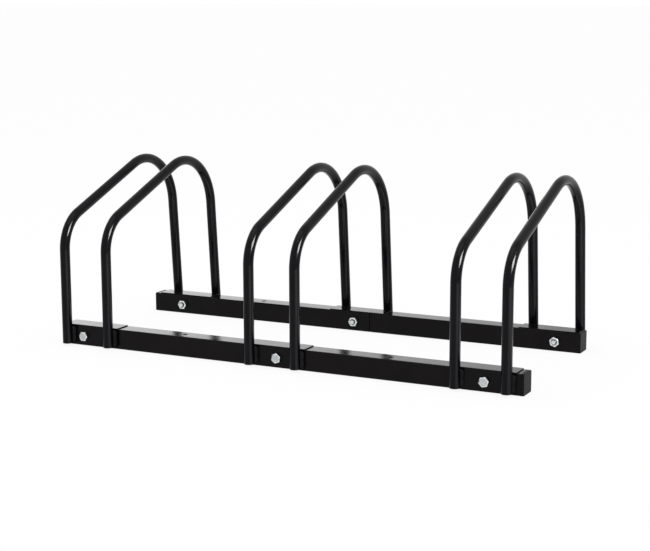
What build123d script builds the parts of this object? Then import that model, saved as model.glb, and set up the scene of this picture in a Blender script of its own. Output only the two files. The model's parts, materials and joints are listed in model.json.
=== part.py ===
# Three-bay bicycle floor rack.
# Six bent-tube wheel hoops stand in three pairs. Each pair is welded to a front and a rear
# angle bracket, and the brackets are bolted to two long square rails. Each rail is two tubes:
# the necked end of one plugs into the plain end of the other behind the middle bracket.
#
# Millimetres. +X runs along the rails to the right, +Y to the rear, +Z up.
# The origin is on the floor, under the middle of the rack.

import os
from math import cos, radians, sin, tan

from build123d import *

os.makedirs("parts", exist_ok=True)

# Whole rack
rack_depth = 334.0  # front of the front legs to the back of the rear legs
pair_pitch = 313.0  # from one bay's middle to the next
hoop_spacing = 73.0  # between the axes of a bay's two hoops

# Wheel hoops
hoop_od = 15.0
hoop_wall = 1.2
hoop_height = 268.5  # floor to the top of the hoop
hoop_slope = 20.6  # degrees, rise of the long run towards the rear
hoop_lean = 4.7  # degrees, lean of the rear leg
front_bend = 57.0  # bend radii, on the tube's axis
apex_bend = 84.0
foot_gap = 3.5  # the legs end this far above the floor

# Rails
rail_size = 30.0  # square tube
rail_wall = 1.2
bore_corner = 0.8  # inside radius of the tube's corners
seam_offset = 22.0  # from the rack's middle to the butt joint of the two tubes
neck_length = 52.0
neck_clearance = 0.2
neck_inner_corner = 0.4
plain_overhang = 5.5  # the plain tube runs this far past its bracket
necked_setback = 2.5  # the necked tube stops this far inside its bracket's end
anchor_d = 6.5  # floor anchor holes
plain_anchor_inset = 192.5  # from the plain tube's outer end
necked_anchor_inset = 200.5  # from the necked tube's outer end

# Brackets, each a web on the rail's outer face and a flange over its top
bracket_length = 94.0
bracket_gauge = 1.2
bracket_bend = 0.6  # inside radius of the sheet's bend
bracket_clearance = 0.2  # between the rail and the flange
flange_setback = 1.0  # the flange stops this far short of the rail's inner face
web_lift = 1.0  # the web stops this far above the floor

# Bolts and nuts
bolt_d = 8.0
bolt_hole_clearance = 0.5
bolt_across_flats = 13.0
head_height = 5.3
bolt_end = 2.2  # thread showing past the nut
bolt_end_chamfer = 0.8
nut_across_flats = 13.0
nut_height = 6.5
thread_clearance = 0.1
hex_chamfer = 30.0  # degrees
necked_bolt_shift = 11.0  # outwards from the bay's middle, in the necked tube
plain_bolt_shift = 3.0  # outwards from the bay's middle, in the plain tube
joint_bolt_shift = 4.0  # from the rack's middle, away from the seam

# End caps
cap_plate = 5.0
cap_edge = 0.8
cap_plug = 14.0
cap_wall = 2.0
cap_clearance = 0.2

# Weld beads, one on each side of each leg
weld_gap = 0.1  # between a leg and the bracket where they are closest
weld_toe = 2.6  # bead's reach on the bracket, from the side of the leg
weld_inset = 1.0  # from the side of the leg in to the bead's axis
weld_root = 1.5  # half the unwelded strip behind the leg
weld_margin = 1.0  # bead ends to the foot below and to the bend of the bracket above

# Worked out from the sizes above
slope = radians(hoop_slope)
lean = radians(hoop_lean)
leg_radius = hoop_od / 2
front_leg_y = leg_radius - rack_depth / 2
rear_foot_y = rack_depth / 2 - leg_radius * cos(lean)

bracket_corner = bracket_bend + bracket_gauge
bracket_top = rail_size + bracket_clearance + bracket_gauge
rail_z = rail_size / 2
touch_z = bracket_top - bracket_corner  # top of the bracket's flat web


def rear_leg_y(z):
    """Axis of the leaning rear leg at a height."""
    return rear_foot_y - (z - foot_gap) * tan(lean)


front_web_y = front_leg_y + leg_radius + weld_gap
rear_web_y = rear_leg_y(touch_z) - leg_radius / cos(lean) - weld_gap

bracket_end = pair_pitch + bracket_length / 2
plain_end = bracket_end + plain_overhang
necked_end = bracket_end - necked_setback

rail_corner = bore_corner + rail_wall
bore_size = rail_size - 2 * rail_wall
bolt_grip = bracket_gauge + rail_size
bolt_hole_radius = (bolt_d + bolt_hole_clearance) / 2

# A side's facing is the Y direction of its outer face. The rear rail is the front one turned
# half round, so a side's plain tube lies towards -facing along X and its necked tube towards
# +facing.
SIDES = {"front": (-1, front_web_y), "rear": (1, rear_web_y)}
BAYS = {"left": -1, "middle": 0, "right": 1}
HANDS = {"left": -1, "right": 1}


def save(piece, name):
    piece.label = name
    export_step(piece, f"parts/{name}.step")


def outward(x, y, facing):
    """Upright plane at rail height, its normal pointing out of the rack."""
    return Plane(origin=(x, y, rail_z), x_dir=(1, 0, 0), z_dir=(0, facing, 0))


def leg_foot(x, facing):
    """Plane across a leg at its foot, its normal pointing up the leg."""
    if facing < 0:
        return Plane(origin=(x, front_leg_y, foot_gap), x_dir=(1, 0, 0), z_dir=(0, 0, 1))
    up = (0, -sin(lean), cos(lean))
    return Plane(origin=(x, rear_foot_y, foot_gap), x_dir=(1, 0, 0), z_dir=up)


def leg_x(bay, hand):
    return bay * pair_pitch + hand * hoop_spacing / 2


def bolt_x(bay, facing):
    if bay == 0:
        return -facing * joint_bolt_shift
    shift = necked_bolt_shift if bay == facing else plain_bolt_shift
    return bay * (pair_pitch + shift)


def make_hoop(x):
    """Bent tube: upright front leg, long rising run, apex bend, leaning rear leg."""
    apex_z = hoop_height - leg_radius - apex_bend
    apex_y = rear_leg_y(apex_z) - apex_bend / cos(lean)
    run_y = apex_y - apex_bend * sin(slope)  # where the run meets the apex bend
    run_z = apex_z + apex_bend * cos(slope)
    front_corner_z = run_z + (front_leg_y - run_y) * tan(slope)
    run_foot_z = run_z - run_y * tan(slope)
    rear_corner_y = rear_leg_y(run_foot_z) / (1 + tan(slope) * tan(lean))
    rear_corner_z = run_foot_z + rear_corner_y * tan(slope)
    with BuildPart() as hoop:
        with BuildLine(Plane.YZ.offset(x)) as axis:
            FilletPolyline(
                (front_leg_y, foot_gap),
                (front_leg_y, front_corner_z),
                (rear_corner_y, rear_corner_z),
                (rear_foot_y, foot_gap),
                radius=[front_bend, apex_bend],
            )
        with BuildSketch(leg_foot(x, -1)):
            Circle(leg_radius)
            Circle(leg_radius - hoop_wall, mode=Mode.SUBTRACT)
        sweep(path=axis.wires()[0])
    return hoop.part


def make_bracket(bay, facing, web_y):
    """Bent-sheet angle: a web on the rail's outer face and a flange over its top."""
    inner_y = web_y - facing * bracket_gauge
    tip_y = web_y - facing * (bracket_gauge + rail_size - flange_setback)
    under = bracket_top - bracket_gauge
    start = bay * pair_pitch - bracket_length / 2
    with BuildPart() as bracket:
        with BuildSketch(Plane.YZ.offset(start)):
            with BuildLine():
                outer = FilletPolyline(
                    (web_y, web_lift), (web_y, bracket_top), (tip_y, bracket_top), radius=bracket_corner
                )
                inner = FilletPolyline(
                    (inner_y, web_lift), (inner_y, under), (tip_y, under), radius=bracket_bend
                )
                Line(outer @ 0, inner @ 0)
                Line(outer @ 1, inner @ 1)
            make_face()
        extrude(amount=bracket_length)
        with BuildSketch(outward(bolt_x(bay, facing), web_y, facing)):
            Circle(bolt_hole_radius)
        extrude(amount=-bracket_gauge, mode=Mode.SUBTRACT)
    return bracket.part


def rail_y(facing, web_y):
    """Middle of the rail that lies against a bracket's web."""
    return web_y - facing * (bracket_gauge + rail_size / 2)


def cross_plane(x, facing, web_y):
    """Plane across a rail, centred on it, its normal along +X."""
    return Plane(origin=(x, rail_y(facing, web_y), rail_z), x_dir=(0, 1, 0), z_dir=(1, 0, 0))


def anchor_plane(x, facing, web_y):
    """Floor plane centred under a rail's anchor hole."""
    return Plane(origin=(x, rail_y(facing, web_y), 0))


def make_plain_tube(facing, web_y):
    with BuildPart() as tube:
        with BuildSketch(cross_plane(-facing * plain_end, facing, web_y)):
            RectangleRounded(rail_size, rail_size, rail_corner)
            RectangleRounded(bore_size, bore_size, bore_corner, mode=Mode.SUBTRACT)
        extrude(amount=facing * (plain_end + seam_offset))
        for bay in (-facing, 0):
            with BuildSketch(outward(bolt_x(bay, facing), web_y, facing)):
                Circle(bolt_hole_radius)
            extrude(amount=-bolt_grip, mode=Mode.SUBTRACT)
        with BuildSketch(anchor_plane(-facing * (plain_end - plain_anchor_inset), facing, web_y)):
            Circle(anchor_d / 2)
        extrude(amount=rail_size, mode=Mode.SUBTRACT)
    return tube.part


def make_necked_tube(facing, web_y):
    neck_size = bore_size - 2 * neck_clearance
    neck_bore = neck_size - 2 * rail_wall
    with BuildPart() as tube:
        with BuildSketch(cross_plane(facing * necked_end, facing, web_y)):
            RectangleRounded(rail_size, rail_size, rail_corner)
        extrude(amount=-facing * (necked_end - seam_offset))
        with BuildSketch(cross_plane(facing * seam_offset, facing, web_y)):
            RectangleRounded(neck_size, neck_size, bore_corner)
        extrude(amount=-facing * neck_length)
        with BuildSketch(cross_plane(facing * necked_end, facing, web_y)):
            RectangleRounded(bore_size, bore_size, bore_corner)
        extrude(amount=-facing * (necked_end - seam_offset - rail_wall), mode=Mode.SUBTRACT)
        with BuildSketch(cross_plane(facing * necked_end, facing, web_y)):
            RectangleRounded(neck_bore, neck_bore, neck_inner_corner)
        extrude(amount=-facing * (necked_end - seam_offset + neck_length), mode=Mode.SUBTRACT)
        for bay in (facing, 0):
            with BuildSketch(outward(bolt_x(bay, facing), web_y, facing)):
                Circle(bolt_hole_radius)
            extrude(amount=-bolt_grip, mode=Mode.SUBTRACT)
        with BuildSketch(anchor_plane(facing * (necked_end - necked_anchor_inset), facing, web_y)):
            Circle(anchor_d / 2)
        extrude(amount=rail_size, mode=Mode.SUBTRACT)
    return tube.part


def make_cap(hand, facing, web_y):
    """Moulded plug: a plate over the tube's end and a hollow stem inside it."""
    end = plain_end if hand == -facing else necked_end
    seat = cross_plane(hand * end, facing, web_y)
    stem_size = bore_size - 2 * cap_clearance
    stem_bore = stem_size - 2 * cap_wall
    with BuildPart() as cap:
        with BuildSketch(seat):
            RectangleRounded(rail_size, rail_size, rail_corner)
        extrude(amount=hand * cap_plate)
        outer_face = cap.faces().sort_by(Axis.X)[0 if hand < 0 else -1]
        fillet(outer_face.edges(), radius=cap_edge)
        with BuildSketch(seat):
            RectangleRounded(stem_size, stem_size, bore_corner)
            Rectangle(stem_bore, stem_bore, mode=Mode.SUBTRACT)
        extrude(amount=-hand * cap_plug)
    return cap.part


def make_hex(seat, across_flats, height):
    """Hexagon standing on the seat plane, its outer corners cut back by a cone."""
    flat_radius = across_flats / 2
    with BuildPart() as hexagon:
        with BuildSketch(seat):
            RegularPolygon(flat_radius, side_count=6, major_radius=False)
        extrude(amount=height)
        with Locations(seat):
            Cone(
                flat_radius + height / tan(radians(hex_chamfer)),
                flat_radius,
                height,
                align=(Align.CENTER, Align.CENTER, Align.MIN),
                mode=Mode.INTERSECT,
            )
    return hexagon.part


def make_bolt(bay, facing, web_y):
    seat = outward(bolt_x(bay, facing), web_y, facing)
    head = make_hex(seat, bolt_across_flats, head_height)
    with BuildPart() as bolt:
        add(head)
        with BuildSketch(seat):
            Circle(bolt_d / 2)
        extrude(amount=-(bolt_grip + nut_height + bolt_end))
        tip = bolt.faces().sort_by(Axis.Y)[0 if facing > 0 else -1]
        chamfer(tip.edges(), length=bolt_end_chamfer)
    return bolt.part


def make_nut(bay, facing, web_y):
    seat = outward(bolt_x(bay, facing), web_y - facing * bolt_grip, -facing)
    body = make_hex(seat, nut_across_flats, nut_height)
    with BuildPart() as nut:
        add(body)
        with BuildSketch(seat):
            Circle(bolt_d / 2 + thread_clearance)
        extrude(amount=nut_height, mode=Mode.SUBTRACT)
    return nut.part


def make_welds(bay, facing, web_y):
    """Four beads: one on each side of the two legs that stand on a bracket."""
    low = foot_gap + weld_margin
    high = touch_z - weld_margin

    def gap(z):
        return weld_gap + ((touch_z - z) * tan(lean) if facing > 0 else 0)

    with BuildPart() as welds:
        for hand in HANDS.values():
            x = leg_x(bay, hand)
            for side in (-1, 1):
                for z in (low, high):
                    centre = leg_radius - weld_inset - gap(z)
                    with BuildSketch(Plane(origin=(x + side * centre, web_y, z))):
                        Circle(weld_toe + weld_inset + gap(z))
                loft()
            with BuildSketch(leg_foot(x, facing)):
                Circle(leg_radius)
            extrude(amount=bracket_top, both=True, mode=Mode.SUBTRACT)
            with BuildSketch(Plane(origin=(x, web_y, 0))):
                Rectangle(2 * weld_root, 2 * hoop_od)
            extrude(amount=bracket_top, mode=Mode.SUBTRACT)
        with BuildSketch(Plane(origin=(bay * pair_pitch, web_y - facing * rail_size / 2, 0))):
            Rectangle(2 * bracket_length, rail_size)
        extrude(amount=bracket_top, mode=Mode.SUBTRACT)
    return welds.part


for bay_name, bay in BAYS.items():
    for hand_name, hand in HANDS.items():
        save(make_hoop(leg_x(bay, hand)), f"{bay_name}_bay_{hand_name}_hoop")

for side_name, (facing, web_y) in SIDES.items():
    for bay_name, bay in BAYS.items():
        save(make_bracket(bay, facing, web_y), f"{side_name}_{bay_name}_bracket")
        save(make_welds(bay, facing, web_y), f"{side_name}_{bay_name}_welds")
        save(make_bolt(bay, facing, web_y), f"{side_name}_{bay_name}_bolt")
        save(make_nut(bay, facing, web_y), f"{side_name}_{bay_name}_nut")
    save(make_plain_tube(facing, web_y), f"{side_name}_plain_tube")
    save(make_necked_tube(facing, web_y), f"{side_name}_necked_tube")
    for hand_name, hand in HANDS.items():
        save(make_cap(hand, facing, web_y), f"{side_name}_{hand_name}_cap")
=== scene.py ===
# %% [markdown]
# A low bicycle rack for three wheels. Six hoops of bent black tube stand in pairs, each pair is welded
# to a front and a rear angle bracket, and the brackets are bolted to two square rails. The construction
# model already holds every size and place. This lesson loads it as a fixed frame, rebuilds each kind of
# piece as a finished mesh in the same place, and gives every piece its finish.

# %% Load the construction model
import json
from math import cos, pi, radians, sin, tan

import bmesh
import bpy
from mathutils import Euler, Matrix, Vector

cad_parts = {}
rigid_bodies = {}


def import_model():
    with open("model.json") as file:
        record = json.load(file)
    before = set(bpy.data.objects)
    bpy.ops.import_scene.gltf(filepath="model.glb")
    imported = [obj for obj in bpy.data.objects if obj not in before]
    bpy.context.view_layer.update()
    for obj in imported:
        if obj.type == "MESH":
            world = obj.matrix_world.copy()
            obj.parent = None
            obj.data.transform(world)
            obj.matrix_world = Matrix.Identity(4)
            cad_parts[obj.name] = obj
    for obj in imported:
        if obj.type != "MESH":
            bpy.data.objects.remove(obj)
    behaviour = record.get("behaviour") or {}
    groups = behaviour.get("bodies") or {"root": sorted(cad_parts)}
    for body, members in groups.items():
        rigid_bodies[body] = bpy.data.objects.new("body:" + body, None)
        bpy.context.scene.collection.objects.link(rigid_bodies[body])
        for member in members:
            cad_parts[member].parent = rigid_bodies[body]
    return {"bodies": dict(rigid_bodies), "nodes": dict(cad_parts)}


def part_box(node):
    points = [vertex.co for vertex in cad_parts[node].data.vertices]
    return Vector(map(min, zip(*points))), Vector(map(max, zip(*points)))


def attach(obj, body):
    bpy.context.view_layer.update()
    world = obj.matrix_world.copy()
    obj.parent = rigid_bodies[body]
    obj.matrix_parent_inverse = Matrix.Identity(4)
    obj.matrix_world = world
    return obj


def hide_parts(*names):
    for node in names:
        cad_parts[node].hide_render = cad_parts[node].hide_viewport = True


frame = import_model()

kept = {*frame["nodes"].values(), *frame["bodies"].values()}
for leftover in set(bpy.data.objects) - kept:
    bpy.data.objects.remove(leftover)
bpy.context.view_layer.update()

# %% [markdown]
# Pieces are modelled the way a person would by hand: one primitive, shaped in edit mode, finished with
# modifiers. Operators act on everything that is selected, so each helper below first makes one piece
# the only selected one. Edges and faces are picked by where they lie, which a mouse would do by eye.

# %% Helpers for modelling by hand
def select_only(piece):
    bpy.ops.object.select_all(action="DESELECT")
    piece.select_set(True)
    bpy.context.view_layer.objects.active = piece


def start_piece(name, add_primitive, **options):
    """Adds one primitive and puts its place and turn into its mesh."""
    bpy.ops.object.select_all(action="DESELECT")
    add_primitive(**options)
    piece = bpy.context.object
    piece.name = name
    bpy.ops.object.transform_apply(location=True, rotation=True, scale=True)
    return piece


def edit(piece):
    select_only(piece)
    bpy.ops.object.mode_set(mode="EDIT")
    bpy.ops.mesh.select_all(action="SELECT")


def stop_editing():
    bpy.ops.object.mode_set(mode="OBJECT")


def pick(kind, test):
    """In edit mode, selects the edges or faces whose points all pass the test."""
    bpy.ops.mesh.select_mode(type=kind)
    bpy.ops.mesh.select_all(action="DESELECT")
    shape = bmesh.from_edit_mesh(bpy.context.object.data)
    for part in shape.edges if kind == "EDGE" else shape.faces:
        part.select_set(all(test(corner.co) for corner in part.verts))
    bmesh.update_edit_mesh(bpy.context.object.data)


def extrude(along):
    bpy.ops.mesh.extrude_region_move(TRANSFORM_OT_translate={"value": along})


def face_outwards():
    """In edit mode, turns every face of the closed or open shell to the outside."""
    bpy.ops.mesh.select_all(action="SELECT")
    bpy.ops.mesh.normals_make_consistent(inside=False)


print("modelling helpers ready")

# %% [markdown]
# Modifiers do the exact work: Boolean drills and trims, Bevel breaks the edges. A smooth-shaded flat face
# borrows the tilt of its rounded neighbours and then looks wavy in a gloss finish. Weighted Normal cures
# that: it lets the largest face at each corner decide, so flats stay flat right up to their edges.

# %% Helpers for modifiers
sharp_edge = radians(50)
crease = radians(35)
edge_steps = 2
drill_sides = 40
round_sides = 64
fine_sides = 96
clear_through = 4


def apply_modifier(piece, kind, **settings):
    select_only(piece)
    modifier = piece.modifiers.new(kind.lower(), kind)
    for setting, value in settings.items():
        setattr(modifier, setting, value)
    bpy.ops.object.modifier_apply(modifier=modifier.name)


def carve(piece, tool, operation="DIFFERENCE"):
    """Cuts, keeps or joins the space that the tool takes up, and throws the tool away."""
    apply_modifier(piece, "BOOLEAN", operation=operation, solver="EXACT", object=tool)
    bpy.data.objects.remove(tool)


def shade(piece, angle=crease):
    """Shades curved faces smooth, keeps creases sharp and flat faces flat."""
    select_only(piece)
    bpy.ops.object.shade_smooth_by_angle(angle=angle)
    apply_modifier(piece, "WEIGHTED_NORMAL", keep_sharp=True)


def break_edges(piece, width, angle=crease):
    """Rounds sharp edges a little, as a coat of paint or plating does, and shades the piece."""
    apply_modifier(
        piece, "BEVEL", width=width, segments=edge_steps, limit_method="ANGLE", angle_limit=sharp_edge
    )
    shade(piece, angle)


def drill(piece, radius, thickness, location, rotation=(0, 0, 0)):
    """Drills right through a piece of this thickness."""
    bit = start_piece(
        "drill", bpy.ops.mesh.primitive_cylinder_add, vertices=drill_sides, radius=radius,
        depth=clear_through * thickness, location=location, rotation=rotation,
    )
    carve(piece, bit)


def countersink(piece, radius, depth, location):
    """Opens the upper rim of a vertical hole with a cone of 45 degrees."""
    cone = start_piece(
        "countersink", bpy.ops.mesh.primitive_cone_add, vertices=round_sides, depth=2 * depth,
        radius1=radius, radius2=radius + 2 * depth, location=location,
    )
    carve(piece, cone)


print("modifier helpers ready")

# %% [markdown]
# A finished piece takes the place of one construction node. Repeated pieces are modelled once, and each
# copy gets a mesh of its own with its place written into the points, so that every object ends at the
# origin, unturned. The rear rail is the front one turned half round, so most pieces are modelled for the
# front, against a web on Y = 0, and one matrix puts them on either side.

# %% Helpers for placing copies
BAYS = ("left", "middle", "right")
SIDES = ("front", "rear")
HANDS = ("left", "right")
half_turn = Matrix.Rotation(pi, 4, "Z")
finished = {}


def place(model, name, node, where):
    """A copy of a model, moved by a matrix, standing for a construction node."""
    piece = model.copy()
    piece.data = model.data.copy()
    piece.name = name
    piece.data.name = name
    bpy.context.scene.collection.objects.link(piece)
    piece.data.transform(where)
    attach(piece, "root")
    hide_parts(node)
    finished[name] = piece


def discard(*models):
    for model in models:
        bpy.data.objects.remove(model)


def middle_of(node):
    low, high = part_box(node)
    return (low + high) / 2


bay_x = {bay: middle_of(f"front_{bay}_bracket").x for bay in BAYS}
web_y = {"front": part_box("front_left_bracket")[0].y, "rear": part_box("rear_left_bracket")[1].y}
rail_y = {side: middle_of(f"{side}_plain_tube").y for side in SIDES}
rail_z = middle_of("front_plain_tube").z


def against_web(side, x, z=0.0):
    """Takes a model for a web on Y = 0, facing -Y, to a place on the front or rear web."""
    there = Matrix.Translation((x, web_y[side], z))
    return there if side == "front" else there @ half_turn


print("bays at", {bay: round(x, 4) for bay, x in bay_x.items()}, "webs at", web_y)

# %% [markdown]
# A hoop is one length of round tube with two bends: an upright front leg, a long run that rises to the
# rear, a wide bend at the top and a leg that leans back to the floor. Its box in the frame gives the
# outer size. The bends' own angles and radii complete it, and the straights follow from them.

# %% Sizes of a hoop
hoop_low, hoop_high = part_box("left_bay_left_hoop")
tube_radius = (hoop_high.x - hoop_low.x) / 2
tube_wall = 0.0012
tube_sides = 48
run_slope = radians(20.6)
rear_lean = radians(4.7)
front_bend = 0.057
apex_bend = 0.084

foot_height = hoop_low.z + tube_radius * sin(rear_lean)
front_leg_y = hoop_low.y + tube_radius
rear_foot_y = hoop_high.y - tube_radius * cos(rear_lean)
apex_z = hoop_high.z - tube_radius - apex_bend
apex_y = rear_foot_y - (apex_z - foot_height) * tan(rear_lean) - apex_bend / cos(rear_lean)
run_end_y = apex_y - apex_bend * sin(run_slope)
run_end_z = apex_z + apex_bend * cos(run_slope)
front_turn = pi / 2 - run_slope
apex_turn = pi / 2 + run_slope - rear_lean
front_corner_z = run_end_z - (run_end_y - front_leg_y) * tan(run_slope)
bend_reach = front_bend * tan(front_turn / 2)
front_straight = front_corner_z - bend_reach - foot_height
run_length = (run_end_y - front_leg_y) / cos(run_slope) - bend_reach
rear_straight = (apex_z + apex_bend * sin(rear_lean) - foot_height) / cos(rear_lean)
print("front leg", round(front_straight, 4), "run", round(run_length, 4), "rear", round(rear_straight, 4))

# %% [markdown]
# A curve with a round bevel could make the tube, but extruding a ring along the straights and spinning it
# round the bends is what a tube bender does, and it gives even rows of faces. Solidify then adds the
# wall, so that the cut ends at the floor are hollow.

# %% Bend the hoops
front_bend_steps = 24
apex_bend_steps = 36
tube_edge = 0.0003
weld_distance = 1e-6


def model_hoop():
    hoop = start_piece(
        "hoop_model", bpy.ops.mesh.primitive_circle_add,
        vertices=tube_sides, radius=tube_radius, location=(0, front_leg_y, foot_height),
    )
    edit(hoop)
    extrude((0, 0, front_straight))
    bpy.ops.mesh.spin(
        steps=front_bend_steps, angle=front_turn, axis=(1, 0, 0),
        center=(0, front_leg_y + front_bend, foot_height + front_straight),
    )
    extrude((0, run_length * cos(run_slope), run_length * sin(run_slope)))
    bpy.ops.mesh.spin(
        steps=apex_bend_steps, angle=apex_turn, axis=(1, 0, 0), center=(0, apex_y, apex_z)
    )
    extrude((0, rear_straight * sin(rear_lean), -rear_straight * cos(rear_lean)))
    bpy.ops.mesh.select_all(action="SELECT")
    bpy.ops.mesh.remove_doubles(threshold=weld_distance)
    face_outwards()
    stop_editing()
    apply_modifier(hoop, "SOLIDIFY", thickness=tube_wall, offset=-1)
    break_edges(hoop, tube_edge)
    return hoop


hoop_model = model_hoop()
for bay in BAYS:
    for hand in HANDS:
        node = f"{bay}_bay_{hand}_hoop"
        where = Matrix.Translation((middle_of(node).x, 0, 0))
        place(hoop_model, f"bent_{node}", node, where)
discard(hoop_model)
print("hoops, faces each:", len(finished["bent_left_bay_left_hoop"].data.polygons))

# %% [markdown]
# A bracket is a short angle bent from sheet: a web against the outer face of the rail and a flange over
# its top. It starts as the flat web. The web's top edge is extruded inwards as the flange, the fold is
# bevelled to the bend radius, and Solidify gives the sheet its thickness. Folding it like this keeps the
# wall even round the bend, which cutting a solid block would not.

# %% Fold the brackets
bracket_low, bracket_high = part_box("front_left_bracket")
bracket_length = bracket_high.x - bracket_low.x
bracket_depth = bracket_high.y - bracket_low.y
web_height = bracket_high.z - bracket_low.z
bracket_top = bracket_high.z
web_middle = (bracket_low.z + bracket_high.z) / 2
sheet = 0.0012
fold_radius = 0.0018
corner_steps = 6
sheet_edge = 0.00025
bolt_hole_radius = 0.00425
near = 1e-5


def model_bracket(bolt_shift):
    """Angle with its web on Y = 0, facing -Y."""
    bracket = start_piece(
        "bracket_model", bpy.ops.mesh.primitive_plane_add,
        size=1, location=(0, 0, web_middle), rotation=(pi / 2, 0, 0),
    )
    edit(bracket)
    bpy.ops.transform.resize(
        value=(bracket_length, 1, web_height), center_override=(0, 0, web_middle)
    )
    pick("EDGE", lambda p: p.z > bracket_top - near)
    extrude((0, bracket_depth, 0))
    pick("EDGE", lambda p: p.z > bracket_top - near and p.y < near)
    bpy.ops.mesh.bevel(offset=fold_radius, segments=corner_steps)
    stop_editing()
    apply_modifier(bracket, "SOLIDIFY", thickness=sheet, offset=-1, use_even_offset=True)
    drill(bracket, bolt_hole_radius, sheet, (bolt_shift, 0, rail_z), (pi / 2, 0, 0))
    break_edges(bracket, sheet_edge)
    return bracket


for bay, opposite in zip(BAYS, reversed(BAYS)):
    model = model_bracket(middle_of(f"front_{bay}_bolt").x - bay_x[bay])
    for side, there in (("front", bay), ("rear", opposite)):
        where = against_web(side, bay_x[there])
        place(model, f"angle_{side}_{there}", f"{side}_{there}_bracket", where)
    discard(model)
print("brackets", round(bracket_length, 4), "long and", round(bracket_depth, 4), "deep")

# %% [markdown]
# Each rail is two square tubes. The plain tube keeps its section to its end. The other is necked down
# past the seam, and the neck plugs into the plain tube behind the middle bracket. The boxes of the two
# tubes overlap by the neck, so they give its length too. The seam lies where the plain tube ends.

# %% Sizes of the rail tubes
rail_low, rail_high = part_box("front_plain_tube")
neck_low, neck_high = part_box("front_necked_tube")
rail_size = rail_high.z - rail_low.z
plain_end = rail_high.x
plain_length = rail_high.x - rail_low.x
seam_x = -rail_low.x
necked_end = -neck_low.x
neck_length = neck_high.x + seam_x
print("rail", round(rail_size, 4), "square, neck", round(neck_length, 4), "long")

# %% [markdown]
# A square face with rounded corners is extruded along the rail, its ends are opened, and Solidify turns
# inwards for the wall. Cutting a smaller bar out of a larger one would do for a straight tube, but this
# wall also follows the neck. The pressed shoulder is rounded and stops a little short of the plain tube,
# so the seam shows as a dark groove. The bolt and anchor holes are drilled through, and the anchor holes
# are countersunk a little, as a deburring tool leaves them.

# %% Draw the rail tubes
rail_wall = 0.0012
rail_corner = 0.002
rail_edge = 0.00035
neck_size = 0.0272
seam_groove = 0.0011
shoulder_round = 0.0006
rim_steps = 4
between_rail_and_neck = (rail_size + neck_size) / 4
anchor_radius = 0.00325
anchor_rim = 0.0006
plain_anchor_inset = 0.1925
necked_anchor_inset = 0.2005


def model_rail(name, length, bolt_places, anchor_place, neck=0.0):
    """Tube along X, its outer end at 0."""
    rail = start_piece(
        name, bpy.ops.mesh.primitive_plane_add, size=rail_size, rotation=(0, -pi / 2, 0)
    )
    edit(rail)
    bpy.ops.mesh.bevel(offset=rail_corner, segments=corner_steps, affect="VERTICES")
    extrude((length, 0, 0))
    if neck:
        extrude((0, 0, 0))
        share = neck_size / rail_size
        bpy.ops.transform.resize(value=(1, share, share), center_override=(length, 0, 0))
        extrude((neck, 0, 0))
        pick("EDGE", lambda p: abs(p.x - length) < near and max(map(abs, p.yz)) > between_rail_and_neck)
        bpy.ops.mesh.bevel(offset=shoulder_round, segments=rim_steps)
    for end in (0, length + neck):
        pick("FACE", lambda p: abs(p.x - end) < near)
        bpy.ops.mesh.delete(type="ONLY_FACE")
    face_outwards()
    stop_editing()
    apply_modifier(rail, "SOLIDIFY", thickness=rail_wall, offset=-1, use_even_offset=True)
    for x in bolt_places:
        drill(rail, bolt_hole_radius, rail_size, (x, 0, 0), (pi / 2, 0, 0))
    drill(rail, anchor_radius, rail_size, (anchor_place, 0, 0))
    countersink(rail, anchor_radius, anchor_rim, (anchor_place, 0, rail_size / 2))
    break_edges(rail, rail_edge)
    return rail


def along_rail(side, end):
    """Puts a tube's outer end at this X on the front or rear rail, the tube pointing inwards."""
    there = Matrix.Translation((end, rail_y[side], rail_z))
    return there @ half_turn if end > 0 else there


bolt_x = {bay: middle_of(f"front_{bay}_bolt").x for bay in BAYS}
plain_model = model_rail(
    "plain_model", plain_length, (plain_end - bolt_x["right"], plain_end - bolt_x["middle"]),
    plain_anchor_inset,
)
necked_model = model_rail(
    "necked_model", necked_end - seam_x - seam_groove,
    (bolt_x["left"] + necked_end, bolt_x["middle"] + necked_end),
    necked_anchor_inset, neck_length + seam_groove,
)
for side, facing in (("front", 1), ("rear", -1)):
    for kind, model, end in (
        ("plain", plain_model, facing * plain_end), ("necked", necked_model, -facing * necked_end)
    ):
        where = along_rail(side, end)
        place(model, f"square_tube_{side}_{kind}", f"{side}_{kind}_tube", where)
discard(plain_model, necked_model)
print("rail tubes", round(plain_length, 4), "and", round(necked_end - seam_x + neck_length, 4), "long")

# %% [markdown]
# Each rail end is closed by a moulded plastic plug: a plate with rounded edges that covers the end
# of the tube, and a hollow stem that grips inside it. Inset and extrude on the back of the plate make
# the stem from the same block, so that the plug is one closed mesh as a moulding is.

# %% Mould the end plugs
cap_plate = 0.005
cap_edge = 0.0008
cap_stem = 0.014
stem_inset = 0.0014
stem_wall = 0.002


def model_plug():
    """Plug for a right-hand end, its seat on X = 0."""
    plug = start_piece(
        "plug_model", bpy.ops.mesh.primitive_plane_add, size=rail_size, rotation=(0, pi / 2, 0)
    )
    edit(plug)
    bpy.ops.mesh.bevel(offset=rail_corner, segments=corner_steps, affect="VERTICES")
    extrude((cap_plate, 0, 0))
    pick("EDGE", lambda p: p.x > cap_plate - near)
    bpy.ops.mesh.bevel(offset=cap_edge, segments=rim_steps)
    face_outwards()
    pick("FACE", lambda p: abs(p.x) < near)
    bpy.ops.mesh.inset(thickness=stem_inset)
    extrude((-cap_stem, 0, 0))
    bpy.ops.mesh.inset(thickness=stem_wall)
    extrude((cap_stem, 0, 0))
    stop_editing()
    shade(plug)
    return plug


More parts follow.
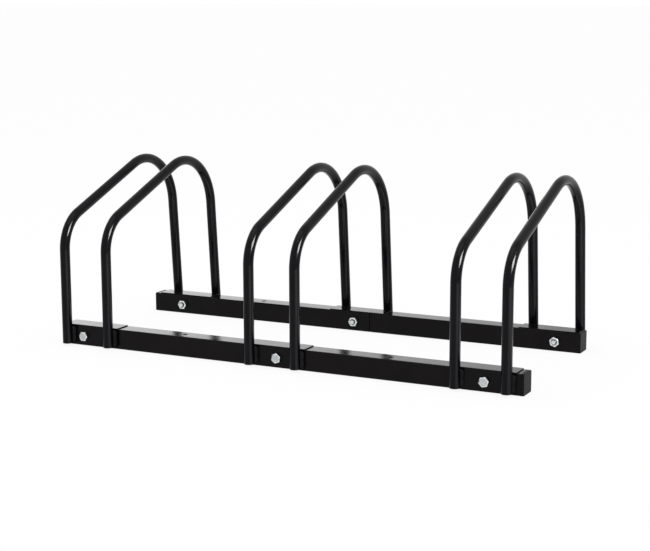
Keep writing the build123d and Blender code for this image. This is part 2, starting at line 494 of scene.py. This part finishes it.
plug_model = model_plug()
for side in SIDES:
    for hand in HANDS:
        node = f"{side}_{hand}_cap"
        low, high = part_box(node)
        seat_x = high.x - cap_plate if hand == "right" else low.x + cap_plate
        where = Matrix.Translation((seat_x, rail_y[side], rail_z))
        where = where if hand == "right" else where @ half_turn
        place(plug_model, f"end_plug_{side}_{hand}", node, where)
discard(plug_model)
print("end plugs, faces each:", len(finished["end_plug_front_right"].data.polygons))

# %% [markdown]
# Six hex bolts clamp the brackets to the rails, with the heads outside and the nuts inside. Head and nut
# start as the same block: a six-sided cylinder whose rim is cut back by a wide cone, as on pressed and
# turned fasteners. A Boolean that keeps only what lies inside the cone gives the curved chamfers.

# %% Hexagon blocks
bolt_low, bolt_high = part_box("front_left_bolt")
nut_low, nut_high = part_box("front_left_nut")
across_flats = bolt_high.z - bolt_low.z
head_height = web_y["front"] - bolt_low.y
bolt_reach = bolt_high.y - web_y["front"]
nut_height = nut_high.y - nut_low.y
nut_seat = nut_low.y - web_y["front"]
hex_chamfer = radians(30)
hex_top_radius = 0.0057


def model_hexagon(name, height):
    """Six-sided block from Z = 0 up, flats towards +Y and -Y, its top rim cut back by a cone."""
    block = start_piece(
        name, bpy.ops.mesh.primitive_cylinder_add, vertices=6, radius=across_flats / 2 / cos(pi / 6),
        depth=height, location=(0, 0, height / 2), rotation=(0, 0, pi / 6),
    )
    cone = start_piece(
        "cone", bpy.ops.mesh.primitive_cone_add, vertices=fine_sides, depth=height,
        radius1=hex_top_radius + height / tan(hex_chamfer), radius2=hex_top_radius,
        location=(0, 0, height / 2),
    )
    carve(block, cone, "INTERSECT")
    return block


print("hexagons", round(across_flats, 4), "across flats")

# %% [markdown]
# The thread that shows past the nut is a real helix. A stack of rings would be quicker, but rings don't
# climb, and a close look shows it. The helix starts from one tooth, a line of four points. A grid of
# three squares has such a line on each side, so one side is deleted and the other moved into shape.

# %% One tooth of the thread
bolt_radius = 0.004
thread_pitch = 0.00125
thread_depth = 0.00068
tooth_outline = ((1, 0.0), (0, 0.4), (0, 0.6), (1, 1.0))


def model_tooth():
    """Line of four points: root, both corners of the crest, and the next root."""
    tooth = start_piece(
        "thread", bpy.ops.mesh.primitive_grid_add, x_subdivisions=1, y_subdivisions=3, size=1
    )
    edit(tooth)
    pick("EDGE", lambda p: p.x > 0)
    bpy.ops.mesh.delete(type="VERT")
    shape = bmesh.from_edit_mesh(tooth.data)
    rows = sorted(shape.verts, key=lambda p: p.co.y)
    for point, (depth_share, pitch_share) in zip(rows, tooth_outline):
        point.co = (bolt_radius - depth_share * thread_depth, 0, pitch_share * thread_pitch)
    bmesh.update_edit_mesh(tooth.data)
    stop_editing()
    return tooth


print("tooth", thread_depth, "deep, pitch", thread_pitch)

# %% [markdown]
# The Screw modifier winds the tooth up the shank, one pitch to a turn. Both ends climb with the helix, so
# it is wound too long, and two bisects square it off and close it. A chamfered blank then trims the
# point.

# %% Cut the thread
thread_length = 0.012
thread_steps = 32
turns_cut_off = 1.5
spare_turns = 3
bolt_end_chamfer = 0.0008


def model_thread():
    """Wound thread below Z = 0, its chamfered end pointing down."""
    thread = model_tooth()
    apply_modifier(
        thread, "SCREW", axis="Z", steps=thread_steps, render_steps=thread_steps,
        screw_offset=thread_pitch, iterations=int(thread_length / thread_pitch) + spare_turns,
        use_merge_vertices=True, merge_threshold=weld_distance,
    )
    edit(thread)
    bpy.ops.mesh.remove_doubles(threshold=weld_distance)
    low = turns_cut_off * thread_pitch
    high = low + thread_length
    for cut, side in ((low, "clear_inner"), (high, "clear_outer")):
        bpy.ops.mesh.select_all(action="SELECT")
        bpy.ops.mesh.bisect(plane_co=(0, 0, cut), plane_no=(0, 0, 1), use_fill=True, **{side: True})
    face_outwards()
    bpy.ops.transform.translate(value=(0, 0, -high))
    stop_editing()
    blank = start_piece(
        "blank", bpy.ops.mesh.primitive_cylinder_add, vertices=round_sides, radius=bolt_radius,
        depth=thread_length, location=(0, 0, -thread_length / 2),
    )
    edit(blank)
    pick("EDGE", lambda p: p.z < near - thread_length)
    bpy.ops.mesh.bevel(offset=bolt_end_chamfer, segments=1)
    stop_editing()
    carve(thread, blank, "INTERSECT")
    return thread


thread_model = model_thread()
print("thread faces:", len(thread_model.data.polygons))

# %% [markdown]
# Every face stores a tone, worked out from its place and its slope, and the finish reads it later. The
# tones paint shade into the threads and bores and paint highlights on the edges and on the bolt's end. No
# noise can know where these lie. Colours could be painted on the corners too, but one number a face is
# enough.

# %% Tones of the plating, with painted shade and painted highlights
# Painted shade for threads, bores and countersinks; painted highlights for the bolt's end and the slanted
# edges.
painted_shade_tone = 0.0
nut_tone = 0.3
head_tone = 0.42
painted_highlight_tone = 0.6
painted_glint_tone = 0.75
level_slope = 0.97
upright_slope = 0.1


def store_tones(piece, plain_tone, in_recess):
    """Painted shade in recesses, painted highlight on a shank's end and slanted edges, plain elsewhere.
    """
    tones = piece.data.attributes.new("plating_and_painted_light_tone", "FLOAT", "FACE")
    for face in piece.data.polygons:
        slope = abs(face.normal.z)
        if in_recess(face.center):
            tone = painted_highlight_tone if slope > level_slope else painted_shade_tone
        else:
            tone = painted_glint_tone if upright_slope < slope < level_slope else plain_tone
        tones.data[face.index].value = tone


print("tones from", painted_shade_tone, "to", painted_glint_tone)

# %% [markdown]
# A bolt is the hexagon, a smooth shank and the thread, joined into one closed mesh by Booleans. A nut is
# the hexagon with a bore, countersunk where the thread comes out. Each is modelled once, and the copies
# stand turned by different angles, because a fastener stops where it comes tight.

# %% Assemble bolts and nuts
bolt_edge = 0.00012
nut_edge = 0.00018
plated_crease = radians(28)
shank_overlap = 0.0002
thread_clearance = 0.0001
bore_radius = bolt_radius + thread_clearance
bore_rim = 0.0004


def model_bolt():
    """Bolt with its head above Z = 0 and its shank below."""
    bolt = model_hexagon("bolt_model", head_height)
    smooth_length = bolt_reach - thread_length
    shank = start_piece(
        "shank", bpy.ops.mesh.primitive_cylinder_add, vertices=round_sides, radius=bolt_radius,
        depth=smooth_length + 2 * shank_overlap, location=(0, 0, -smooth_length / 2),
    )
    carve(bolt, shank, "UNION")
    thread_model.data.transform(Matrix.Translation((0, 0, -smooth_length)))
    carve(bolt, thread_model, "UNION")
    break_edges(bolt, bolt_edge, plated_crease)
    store_tones(bolt, head_tone, lambda middle: middle.z < -near)
    return bolt


def model_nut():
    """Nut standing on Z = 0, countersunk on top."""
    nut = model_hexagon("nut_model", nut_height)
    drill(nut, bore_radius, nut_height, (0, 0, 0))
    countersink(nut, bore_radius, bore_rim, (0, 0, nut_height))
    break_edges(nut, nut_edge, plated_crease)
    store_tones(nut, nut_tone, lambda middle: middle.xy.length < bore_radius + bore_rim)
    return nut


# Where each fastener stopped turning, in degrees: left, middle and right bay.
head_turns = {"front": (0, 22, 12), "rear": (35, 8, 50)}
nut_turns = {"front": (14, 40, 27), "rear": (0, 4, -18)}

bolt_model = model_bolt()
nut_model = model_nut()
for side in SIDES:
    for bay, head_turn, nut_turn in zip(BAYS, head_turns[side], nut_turns[side]):
        on_axis = against_web(side, middle_of(f"{side}_{bay}_bolt").x, rail_z)
        head = on_axis @ Matrix.Rotation(pi / 2, 4, "X")
        head = head @ Matrix.Rotation(radians(head_turn), 4, "Z")
        seat = on_axis @ Matrix.Translation((0, nut_seat, 0)) @ Matrix.Rotation(-pi / 2, 4, "X")
        seat = seat @ Matrix.Rotation(radians(nut_turn), 4, "Z")
        place(bolt_model, f"hex_bolt_{side}_{bay}", f"{side}_{bay}_bolt", head)
        place(nut_model, f"hex_nut_{side}_{bay}", f"{side}_{bay}_nut", seat)
discard(bolt_model, nut_model)
print("bolts, faces each:", len(finished["hex_bolt_front_left"].data.polygons))

# %% [markdown]
# Both sides of every leg are welded to its bracket. A weld bead is a row of frozen puddles, so its edge
# is scalloped and its face has fine ripples. Displacing a smooth bead with noise would give lumps in no
# order, so a formula gives the width at every height: puddles, ripples and round ends. The rear legs lean
# away from the web, so their beads grow thicker towards the floor.

# %% Shape of a weld bead
weld_gap = 0.0001
weld_toe = 0.0026
bead_radius = 0.012
bead_sink = 0.0065
bead_throw = 0.004
weld_low, weld_high = (corner.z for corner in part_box("front_left_welds"))
touch_z = bracket_top - fold_radius
puddles = 2
puddle_depth = 0.20
puddle_crest = 0.7
ripples = 14
ripple_depth = 0.02
bead_end = 0.2
bead_end_rise = 9
bead_steps = 64
bead_sides = 64


def bead_swell(share, wander):
    """Width of a bead at a share of its height: puddles that wander a little, ripples, round ends."""
    puddle = abs(sin(pi * (puddles * share + wander * sin(2 * pi * share))))
    ripple = (1 + cos(2 * pi * ripples * share)) / 2
    end = min(1.0, (bead_end + bead_end_rise * min(share, 1 - share)) ** 0.5)
    return (1 - puddle_depth * (1 - puddle ** puddle_crest) - ripple_depth * ripple) * end


def bead_gap(z, lean):
    """Space between a leg and the web at a height."""
    return weld_gap + (touch_z - z) * tan(lean)


print("beads", round(weld_high - weld_low, 4), "tall,", puddles, "puddles each")

# %% [markdown]
# One bead is a ring extruded upwards in small steps, made wider and narrower as it climbs. The ring is
# wide and its middle lies behind the web, so that only a shallow fillet stands between leg and web. A
# bisect keeps the half on one side of the leg. The leg and the web are then cut away, which seats the
# bead exactly.

# %% Lay one weld bead
def model_bead(side, lean, wander):
    """Bead on one side of a leg that stands at X = 0 in front of a web on Y = 0."""
    def ring(step):
        share = step / bead_steps
        z = weld_low + (weld_high - weld_low) * share
        radius = bead_radius + bead_gap(z, lean)
        half_width = (radius ** 2 - bead_sink ** 2) ** 0.5
        centre = Vector((side * (tube_radius + weld_toe - half_width), bead_sink, z))
        return centre, radius - bead_throw * (1 - bead_swell(share, wander))

    centre, radius = ring(0)
    bead = start_piece(
        "bead", bpy.ops.mesh.primitive_circle_add,
        vertices=bead_sides, radius=radius, fill_type="NGON", location=centre,
    )
    edit(bead)
    for step in range(1, bead_steps + 1):
        next_centre, next_radius = ring(step)
        extrude(next_centre - centre)
        grow = next_radius / radius
        bpy.ops.transform.resize(value=(grow, grow, 1), center_override=next_centre)
        centre, radius = next_centre, next_radius
    bpy.ops.mesh.select_all(action="SELECT")
    bpy.ops.mesh.bisect(plane_co=(0, 0, 0), plane_no=(side, 0, 0), use_fill=True, clear_inner=True)
    face_outwards()
    stop_editing()
    leg_y = -tube_radius / cos(lean) - bead_gap(rail_z, lean)
    leg = start_piece(
        "leg", bpy.ops.mesh.primitive_cylinder_add, vertices=fine_sides, radius=tube_radius,
        depth=3 * bracket_top, location=(0, leg_y, rail_z), rotation=(-lean, 0, 0),
    )
    carve(bead, leg)
    web = start_piece(
        "web", bpy.ops.mesh.primitive_cube_add, size=2 * bracket_top, location=(0, bracket_top, rail_z)
    )
    carve(bead, web)
    return bead


print("one bead:", bead_steps, "steps,", bead_sides, "points a ring")

# %% [markdown]
# A bracket carries two legs, each welded down both sides, so a set has four beads. Four copies of one
# bead would look printed, so the puddles of each wander by another amount. The front legs are upright and
# the rear ones lean, so front and rear have a set each, which is copied to the three bays.

# %% Weld the legs to the brackets
bead_wander = 0.06


def model_weld_set(lean):
    """The four beads of one bracket, no two alike, for a web on Y = 0 facing -Y."""
    spacing = middle_of("left_bay_right_hoop").x - middle_of("left_bay_left_hoop").x
    beads = []
    for leg_x in (-spacing / 2, spacing / 2):
        for side in (-1, 1):
            bead = model_bead(side, lean, wander=bead_wander * len(beads))
            bead.data.transform(Matrix.Translation((leg_x, 0, 0)))
            beads.append(bead)
    select_only(beads[0])
    for bead in beads[1:]:
        bead.select_set(True)
    bpy.ops.object.join()
    weld_set = bpy.context.object
    bpy.ops.object.shade_smooth_by_angle(angle=sharp_edge)
    return weld_set


for side, lean in (("front", 0.0), ("rear", rear_lean)):
    weld_set = model_weld_set(lean)
    for bay in BAYS:
        where = against_web(side, bay_x[bay])
        place(weld_set, f"weld_{side}_{bay}", f"{side}_{bay}_welds", where)
    discard(weld_set)
print("weld sets, faces each:", len(finished["weld_front_left"].data.polygons))

# %% [markdown]
# The finishes are built from nodes. Every pattern reads Object coordinates, which are the rack's own
# metres because all pieces sit at the origin. A shared helper adds noise of a given real size, and each
# finish uses it for slight changes of colour, for gloss, and for a bump that catches the light.

# %% Helpers for finishes
noise_low = 0.3
noise_high = 0.7
soft_detail = 2.0
fine_detail = 3.0


def new_finish(name):
    finish = bpy.data.materials.new(name)
    finish.use_nodes = True
    tree = finish.node_tree
    return finish, tree, tree.nodes["Principled BSDF"]


def noise(tree, grain, detail=soft_detail):
    """Noise whose lumps are about this many metres across."""
    place_node = tree.nodes.new("ShaderNodeTexCoord")
    pattern = tree.nodes.new("ShaderNodeTexNoise")
    pattern.inputs["Scale"].default_value = 1 / grain
    pattern.inputs["Detail"].default_value = detail
    tree.links.new(place_node.outputs["Object"], pattern.inputs["Vector"])
    return pattern.outputs["Fac"]


def spread(tree, value, low, high, socket):
    """Sends a noise to a socket, stretched to run from low to high."""
    stretch = tree.nodes.new("ShaderNodeMapRange")
    stretch.inputs["From Min"].default_value = noise_low
    stretch.inputs["From Max"].default_value = noise_high
    stretch.inputs["To Min"].default_value = low
    stretch.inputs["To Max"].default_value = high
    tree.links.new(value, stretch.inputs["Value"])
    tree.links.new(stretch.outputs["Result"], socket)


def tint(tree, value, dark, light, socket):
    """Sends a colour that a noise moves between two tones."""
    ramp = tree.nodes.new("ShaderNodeValToRGB")
    low, high = ramp.color_ramp.elements
    low.position = noise_low
    low.color = (*dark, 1)
    high.position = noise_high
    high.color = (*light, 1)
    tree.links.new(value, ramp.inputs["Fac"])
    tree.links.new(ramp.outputs["Color"], socket)


def bump(tree, shader, height, strength, depth):
    relief = tree.nodes.new("ShaderNodeBump")
    relief.inputs["Strength"].default_value = strength
    relief.inputs["Distance"].default_value = depth
    tree.links.new(height, relief.inputs["Height"])
    tree.links.new(relief.outputs["Normal"], shader.inputs["Normal"])


print("finish helpers ready")

# %% [markdown]
# The steel is coated in gloss black. Sprayed and baked coats settle into a faint orange peel, hardly
# there on the tubes, and their gloss changes slightly from place to place. Over the rough weld beads the
# coat stays dull, and its colour is made lighter there as a painted sheen. Low refraction keeps the
# upright faces near black while the tops, seen at a low angle, still mirror the bright surroundings.

# %% Gloss black paint
paint_refraction = 1.2
cloud_size = 0.03
gloss_patch = 0.012
peel_strength = 0.3


def make_paint(name, dark, light, gloss, peel_size, peel_depth):
    paint, tree, shader = new_finish(name)
    shader.inputs["IOR"].default_value = paint_refraction
    tint(tree, noise(tree, cloud_size), dark, light, shader.inputs["Base Color"])
    spread(tree, noise(tree, gloss_patch), *gloss, shader.inputs["Roughness"])
    bump(tree, shader, noise(tree, peel_size, fine_detail), peel_strength, peel_depth)
    return paint


tube_paint = make_paint(
    "tube_paint", dark=(0.0018, 0.0013, 0.0026), light=(0.0032, 0.0024, 0.0044),
    gloss=(0.13, 0.18), peel_size=0.004, peel_depth=0.000001,
)
sheet_paint = make_paint(
    "sheet_paint", dark=(0.0022, 0.0013, 0.0018), light=(0.0038, 0.0025, 0.0032),
    gloss=(0.14, 0.20), peel_size=0.0016, peel_depth=0.000010,
)
# The beads' lighter colour is a painted sheen: the same black paint, made greyer for the light that the
# rough beads catch.
bead_paint = make_paint(
    "bead_paint", dark=(0.0070, 0.0060, 0.0070), light=(0.0140, 0.0125, 0.0140),
    gloss=(0.42, 0.52), peel_size=0.0012, peel_depth=0.000060,
)
print("paints:", tube_paint.name, sheet_paint.name, bead_paint.name)

# %% [markdown]
# Bolts and nuts are bright zinc plated: a pale, slightly blue metal with a soft satin gloss and small
# cloudy patches. The stored tone of each face, shifted a little by the clouds, picks its colour from a
# ramp that runs from painted shade, a dull grey, in the threads to painted highlights, nearly white, on
# the edges.

# %% Zinc plating
plating_cloud = 0.0022
cloud_detail = 4.0
cloud_share = 0.5
# Dark grey is painted shade for threads and bores, the middle grey is the zinc's own colour, near white
# is a painted highlight.
plating_and_painted_light_ramp = ((0.30, (0.030, 0.032, 0.035)), (0.65, (0.46, 0.48, 0.49)), (1.0, (0.74, 0.77, 0.78)))
satin_patch = 0.0012
satin_gloss = (0.18, 0.28)
crystal_size = 0.0005
crystal_strength = 0.3
crystal_depth = 0.00001


def calculate(tree, operation, first, second):
    """A Math node of two numbers, the second one fixed or from another node."""
    node = tree.nodes.new("ShaderNodeMath")
    node.operation = operation
    tree.links.new(first, node.inputs[0])
    if isinstance(second, float):
        node.inputs[1].default_value = second
    else:
        tree.links.new(second, node.inputs[1])
    return node.outputs["Value"]


def make_zinc():
    zinc, tree, shader = new_finish("zinc_plating")
    shader.inputs["Metallic"].default_value = 1.0
    # The stored tone brings the painted shade and painted highlights into the base colour.
    stored = tree.nodes.new("ShaderNodeAttribute")
    stored.attribute_name = "plating_and_painted_light_tone"
    clouds = calculate(tree, "MULTIPLY", noise(tree, plating_cloud, cloud_detail), cloud_share)
    ramp = tree.nodes.new("ShaderNodeValToRGB")
    stops = ramp.color_ramp.elements
    stops.new(plating_and_painted_light_ramp[1][0])
    for stop, (position, colour) in zip(stops, plating_and_painted_light_ramp):
        stop.position = position
        stop.color = (*colour, 1)
    tree.links.new(calculate(tree, "ADD", clouds, stored.outputs["Fac"]), ramp.inputs["Fac"])
    tree.links.new(ramp.outputs["Color"], shader.inputs["Base Color"])
    spread(tree, noise(tree, satin_patch, fine_detail), *satin_gloss, shader.inputs["Roughness"])
    bump(tree, shader, noise(tree, crystal_size, fine_detail), crystal_strength, crystal_depth)
    return zinc


zinc = make_zinc()
print("metal:", zinc.name)

# %% [markdown]
# The plugs are black plastic, duller than the paint, with the fine grain that a spark-eroded mould
# leaves. Being dull, they stay dark where the glossy rail tops beside them mirror the light. The grain
# scatters light at low angles, so a face that is seen almost edge-on looks greyer. Sheen gives that.

# %% Moulded plastic
plastic_refraction = 1.03
grain_sheen = 0.46
grain_spread = 0.3
plastic_cloud = 0.006
plastic_dark = (0.0095, 0.0092, 0.0102)
plastic_light = (0.0125, 0.0121, 0.0135)
dull_patch = 0.002
dull_gloss = (0.78, 0.90)
grain_size = 0.0004
grain_strength = 0.5
grain_depth = 0.00004


def make_plastic():
    plastic, tree, shader = new_finish("plug_plastic")
    shader.inputs["IOR"].default_value = plastic_refraction
    shader.inputs["Sheen Weight"].default_value = grain_sheen
    shader.inputs["Sheen Roughness"].default_value = grain_spread
    tint(tree, noise(tree, plastic_cloud), plastic_dark, plastic_light, shader.inputs["Base Color"])
    spread(tree, noise(tree, dull_patch), *dull_gloss, shader.inputs["Roughness"])
    bump(tree, shader, noise(tree, grain_size), grain_strength, grain_depth)
    return plastic


plastic = make_plastic()
print("plastic:", plastic.name)

# %% [markdown]
# Each piece takes its finish from the first word of its name. Assigning by hand in the material tab would
# do for a few pieces, but with this many a small table is quicker to read and to change.

# %% Give every piece its finish
finish_of = {
    "bent": tube_paint, "weld": bead_paint, "angle": sheet_paint, "square": sheet_paint,
    "hex": zinc, "end": plastic,
}
for name, piece in finished.items():
    piece.data.materials.clear()
    piece.data.materials.append(finish_of[name.split("_")[0]])
print(len(finished), "pieces finished")

# %% [markdown]
# The rack stands on a plain pale floor in a white studio. The camera and every reflection see the world
# and the floor as white, while the light that falls on the rack stays at a plain level, so that the floor
# keeps a faint shadow. The world's colour is chosen by the kind of ray that asks for it.

# %% White studio
studio_level = 0.95
floor_size = 80
floor_glow = 0.9
paper_white = (0.9, 0.9, 0.9, 1)


def seen_directly(tree):
    """1 where the camera, a reflection or a refraction looks, 0 for other light."""
    paths = tree.nodes.new("ShaderNodeLightPath")
    total = paths.outputs["Is Camera Ray"]
    for kind in ("Is Glossy Ray", "Is Transmission Ray"):
        total = calculate(tree, "MAXIMUM", total, paths.outputs[kind])
    return total


def light_world():
    world = bpy.data.worlds.new("white_studio")
    bpy.context.scene.world = world
    world.use_nodes = True
    tree = world.node_tree
    ambient = tree.nodes["Background"]
    ambient.inputs["Color"].default_value = (1, 1, 1, 1)
    ambient.inputs["Strength"].default_value = studio_level
    white = tree.nodes.new("ShaderNodeBackground")
    white.inputs["Color"].default_value = (1, 1, 1, 1)
    blend = tree.nodes.new("ShaderNodeMixShader")
    tree.links.new(seen_directly(tree), blend.inputs["Fac"])
    tree.links.new(ambient.outputs["Background"], blend.inputs[1])
    tree.links.new(white.outputs["Background"], blend.inputs[2])
    tree.links.new(blend.outputs["Shader"], tree.nodes["World Output"].inputs["Surface"])


def make_floor():
    floor = start_piece("studio_floor", bpy.ops.mesh.primitive_plane_add, size=floor_size)
    paper = bpy.data.materials.new("floor_paper")
    paper.use_nodes = True
    tree = paper.node_tree
    tree.nodes.remove(tree.nodes["Principled BSDF"])
    matt = tree.nodes.new("ShaderNodeBsdfDiffuse")
    matt.inputs["Color"].default_value = paper_white
    glow = tree.nodes.new("ShaderNodeEmission")
    blend = tree.nodes.new("ShaderNodeMixShader")
    tree.links.new(calculate(tree, "MULTIPLY", seen_directly(tree), floor_glow), blend.inputs["Fac"])
    tree.links.new(matt.outputs["BSDF"], blend.inputs[1])
    tree.links.new(glow.outputs["Emission"], blend.inputs[2])
    tree.links.new(blend.outputs["Shader"], tree.nodes["Material Output"].inputs["Surface"])
    floor.data.materials.append(paper)


light_world()
make_floor()
print("white studio ready")

# %% [markdown]
# Gloss black is drawn by what it mirrors, so the lamps need some shaping. An area lamp is a plain
# rectangle, but it can have nodes too: Geometry's Parametric runs from 0 to 1 across it, which makes a
# fade. A lamp that is there for its reflections alone is hidden from matt surfaces, no lamp shows to the
# camera, and light linking keeps a lamp to some of the pieces.

# %% Helpers for lamps
def across_lamp(box):
    """Gives a lamp nodes and returns them with the place across it, from 0 to 1 in X and in Y."""
    box.data.use_nodes = True
    tree = box.data.node_tree
    across = tree.nodes.new("ShaderNodeNewGeometry")
    split = tree.nodes.new("ShaderNodeSeparateXYZ")
    tree.links.new(across.outputs["Parametric"], split.inputs["Vector"])
    return tree, split.outputs["X"], split.outputs["Y"]


def scale_light(tree, value, start, end, at_start, at_end):
    """Scales a lamp's light from one level to another while a value runs from start to end."""
    scale = tree.nodes.new("ShaderNodeMapRange")
    scale.inputs["From Min"].default_value = start
    scale.inputs["From Max"].default_value = end
    scale.inputs["To Min"].default_value = at_start
    scale.inputs["To Max"].default_value = at_end
    tree.links.new(value, scale.inputs["Value"])
    tree.links.new(scale.outputs["Result"], tree.nodes["Emission"].inputs["Strength"])


def fade_across(box, right, left):
    """Scales a lamp's light from its right side to its left, as seen from the rack."""
    tree, x, _ = across_lamp(box)
    scale_light(tree, x, 0, 1, right, left)


def light_only(box, *kinds):
    """Keeps a lamp to the pieces whose names start with these words."""
    lit = bpy.data.collections.new(f"lit_by_{box.name}")
    for name, piece in finished.items():
        if name.startswith(kinds):
            lit.objects.link(piece)
    box.light_linking.receiver_collection = lit


def add_softbox(name, location, target, width, height, watts, reflections_only=False):
    """A rectangular lamp that faces its target."""
    lamp = bpy.data.lights.new(name, "AREA")
    lamp.shape = "RECTANGLE"
    lamp.size = width
    lamp.size_y = height
    lamp.energy = watts
    box = bpy.data.objects.new(name, lamp)
    box.location = location
    box.rotation_euler = (Vector(target) - Vector(location)).to_track_quat("-Z", "Y").to_euler()
    box.visible_camera = False
    box.visible_diffuse = not reflections_only
    bpy.context.scene.collection.objects.link(box)
    return box


print("lamp helpers ready")

# %% [markdown]
# A wide softbox hangs overhead. A low panel at the back left brightens the tops of the rails and fades
# towards the right. A bright softbox far to the right draws the streaks inside the front bends. The last
# two are there for their reflections alone. The bright one would also draw hard white lines along the
# rails' edges, so it is kept to the hoops and the plated fasteners.

# %% Softboxes
rack_middle = Vector((0, 0, 0.1))
add_softbox("overhead_softbox", (0.0, -0.7, 2.6), rack_middle, width=2.4, height=1.6, watts=14)
back_left = add_softbox(
    "back_left_panel", (-1.55, 2.2, 0.6), rack_middle,
    width=2.3, height=0.9, watts=6.5, reflections_only=True,
)
fade_across(back_left, right=0.22, left=2.3)
right_softbox = add_softbox(
    "right_softbox", (2.45, -0.6, 1.5), rack_middle,
    width=1.3, height=0.95, watts=300, reflections_only=True,
)
light_only(right_softbox, "bent", "hex")
bpy.context.scene.view_settings.view_transform = "Standard"
print("softboxes lit")

# %% [markdown]
# A soft upright band a little right of the middle makes each leg look round. One sheet of card on the
# floor would put it in another place on every leg, so each leg gets its own: a wedge that spreads over
# the floor from the foot to the right front. In an upright mirror tube, such a wedge becomes a band of
# even width. An area lamp is a rectangle, so nodes cut the wedge out of it: the distance to the side,
# divided by the distance from the foot, is the same along any line from the tip. Light linking keeps each
# card to its own hoop.

# %% Cards for the legs
card_reach = 1.1
card_heading = radians(60)  # from -Y towards +X
card_opening = radians(64)
card_watts = 7.2
lamp_middle = 0.5
wedge_side = 0.5
wedge_core = 0.25


def cut_wedge(card):
    """Keeps a lamp's light to a wedge with soft sides that widens along the lamp's Y."""
    tree, x, y = across_lamp(card)
    aside = calculate(tree, "SUBTRACT", x, lamp_middle)
    apart = calculate(tree, "MAXIMUM", aside, calculate(tree, "MULTIPLY", aside, -1.0))
    scale_light(tree, calculate(tree, "DIVIDE", apart, y), wedge_side, wedge_core, 0, 1)


def add_leg_card(hoop, leg, foot):
    """A card that lies on the floor, face up, and spreads from a foot along the heading."""
    ahead = Vector((sin(card_heading), -cos(card_heading), 0))
    middle = foot + ahead * card_reach / 2
    width = 2 * card_reach * tan(card_opening / 2)
    card = add_softbox(
        f"{leg}_card_{hoop}", middle, foot, width, card_reach, card_watts, reflections_only=True
    )
    card.rotation_euler = (pi, 0, card_heading)
    cut_wedge(card)
    light_only(card, hoop)


# Two cards at one height would hide each other, so the rear one of a hoop lies a hair higher.
leg_feet = (("front", front_leg_y, near), ("rear", rear_foot_y, 2 * near))
for bay in BAYS:
    for hand in HANDS:
        node = f"{bay}_bay_{hand}_hoop"
        for leg, foot_y, lift in leg_feet:
            add_leg_card(f"bent_{node}", leg, Vector((middle_of(node).x, foot_y, lift)))
print("cards for", 2 * len(BAYS) * len(HANDS), "legs")

# %% [markdown]
# The camera stands where the picture was taken: to the right of the rack and a little above it, with a
# long lens. Its place was found by fitting the rails and legs of the construction model to the picture.
# The picture is 650 pixels wide, so the focal length in pixels gives the lens on a 36 mm sensor.

# %% Camera
image_width = 650
focal_pixels = 1578.2
sensor_width = 36.0
camera_place = (1.03504, -2.06363, 0.53090)
camera_turn = radians(26.541)
camera_tilt = radians(10.387)
camera_roll = radians(-0.182)

lens = bpy.data.cameras.new("camera")
lens.sensor_width = sensor_width
lens.lens = focal_pixels / image_width * sensor_width
camera = bpy.data.objects.new("camera", lens)
bpy.context.scene.collection.objects.link(camera)
level_view = Euler((pi / 2 - camera_tilt, 0, camera_turn)).to_matrix().to_4x4()
rolled_view = level_view @ Matrix.Rotation(camera_roll, 4, "Z")
camera.matrix_world = Matrix.Translation(camera_place) @ rolled_view
bpy.context.scene.camera = camera
print("lens", round(lens.lens, 2), "mm")
